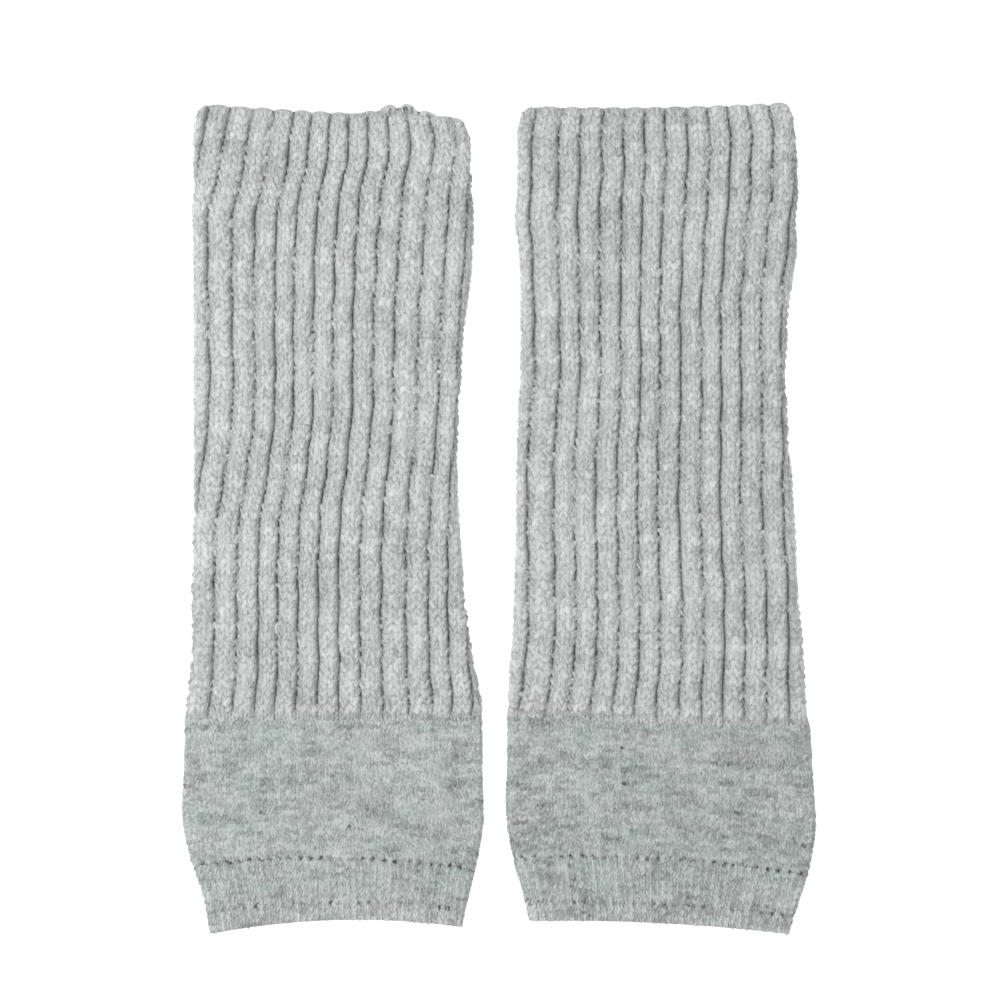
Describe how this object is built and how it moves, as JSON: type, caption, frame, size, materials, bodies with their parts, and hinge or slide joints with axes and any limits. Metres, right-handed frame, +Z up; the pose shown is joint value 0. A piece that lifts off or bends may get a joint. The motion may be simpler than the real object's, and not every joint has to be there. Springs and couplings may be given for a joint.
{
  "type": "pair of knitted leg warmers",
  "caption": "Ribbed knit leg warmers lying flat side by side: thick ribbed tubes, each with a plain ankle band and a close cuff, open at both ends, worn over the lower leg.",
  "frame": {"origin": "centre of the pair's footprint, on the surface that it lies on", "axes": "+X across the pair from the left warmer to the right one, +Y along the warmers from the cuffs to the open ribbed tops, +Z up"},
  "size_m": [0.254, 0.3327, 0.007],
  "materials": {
    "rib_yarn": "soft matt light grey heather yarn in thick ribs",
    "band_yarn": "matt cool grey melange yarn in fine plain knit"
  },
  "bodies": {
    "root": {"leg_left": "rib_yarn", "ankle_band_left": "band_yarn", "cuff_left": "band_yarn", "leg_right": "rib_yarn", "ankle_band_right": "band_yarn", "cuff_right": "band_yarn"}
  },
  "joints": []
}
